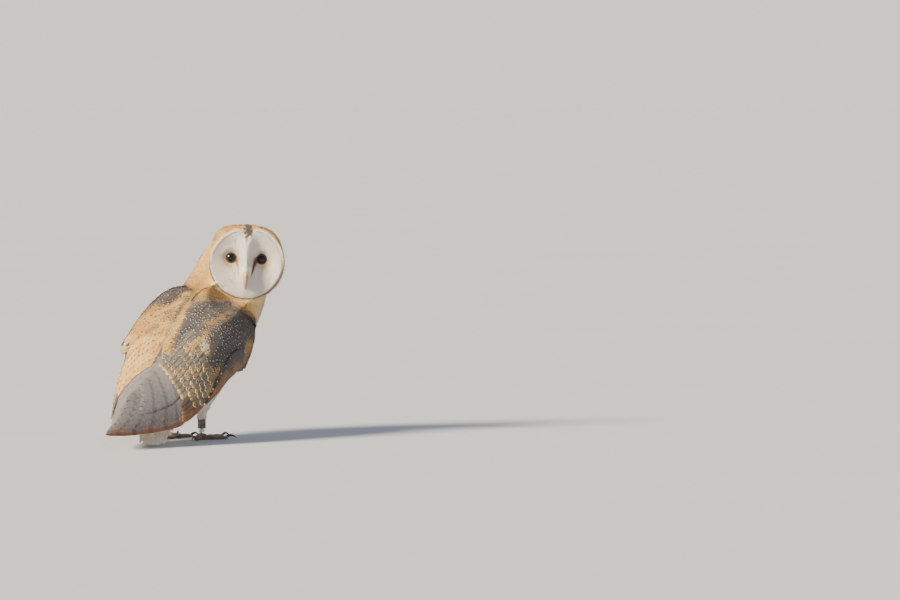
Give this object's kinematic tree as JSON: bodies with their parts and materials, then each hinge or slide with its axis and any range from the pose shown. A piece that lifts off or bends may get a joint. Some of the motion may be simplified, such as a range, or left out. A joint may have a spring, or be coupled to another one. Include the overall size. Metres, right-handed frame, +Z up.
{
  "type": "barn owl",
  "caption": "Life-size barn owl standing on its feet, wings folded, head turned back over its right shoulder; metal ring on the right leg.",
  "frame": {"origin": "middle of the underside of the box round the whole bird, on the floor it stands on", "axes": "+Z up, -Y the way the breast faces, +X the bird's left"},
  "size_m": [0.152, 0.3156, 0.2391],
  "materials": {
    "buff": "golden-buff feathers with fine grey marbling and small dark and white dots",
    "white": "white feathers with a warm tint",
    "grey": "grey-marbled golden feathers with dark dots tipped white",
    "barred": "golden flight feathers with grey-brown bars and rusty edges",
    "bill": "ivory-pink horn, darker toward the base",
    "eye": "black-brown, wet and glossy",
    "skin": "grey-brown scaled skin with pinkish pads",
    "claw": "dark horn, slightly shiny",
    "ring": "dull grey metal band, bare of any lettering"
  },
  "bodies": {
    "root": {"head": "white", "neck": "buff", "trunk": "white", "tail": "white", "bill_upper": "bill", "bill_lower": "bill", "eye_left": "eye", "scapulars_left": "buff", "wing_left_coverts": "buff", "wing_left_secondaries": "barred", "wing_left_primaries": "barred", "wing_left_alula": "grey", "thigh_left": "white", "tarsus_left": "white", "foot_left": "skin", "toe_left_inner": "skin", "claw_left_inner": "claw", "toe_left_middle": "skin", "claw_left_middle": "claw", "toe_left_outer": "skin", "claw_left_outer": "claw", "toe_left_hind": "skin", "claw_left_hind": "claw", "eye_right": "eye", "scapulars_right": "grey", "wing_right_coverts": "grey", "wing_right_secondaries": "barred", "wing_right_primaries": "barred", "wing_right_alula": "grey", "thigh_right": "white", "tarsus_right": "white", "foot_right": "skin", "toe_right_inner": "skin", "claw_right_inner": "claw", "toe_right_middle": "skin", "claw_right_middle": "claw", "toe_right_outer": "skin", "claw_right_outer": "claw", "toe_right_hind": "skin", "claw_right_hind": "claw", "leg_ring": "ring"}
  },
  "joints": []
}
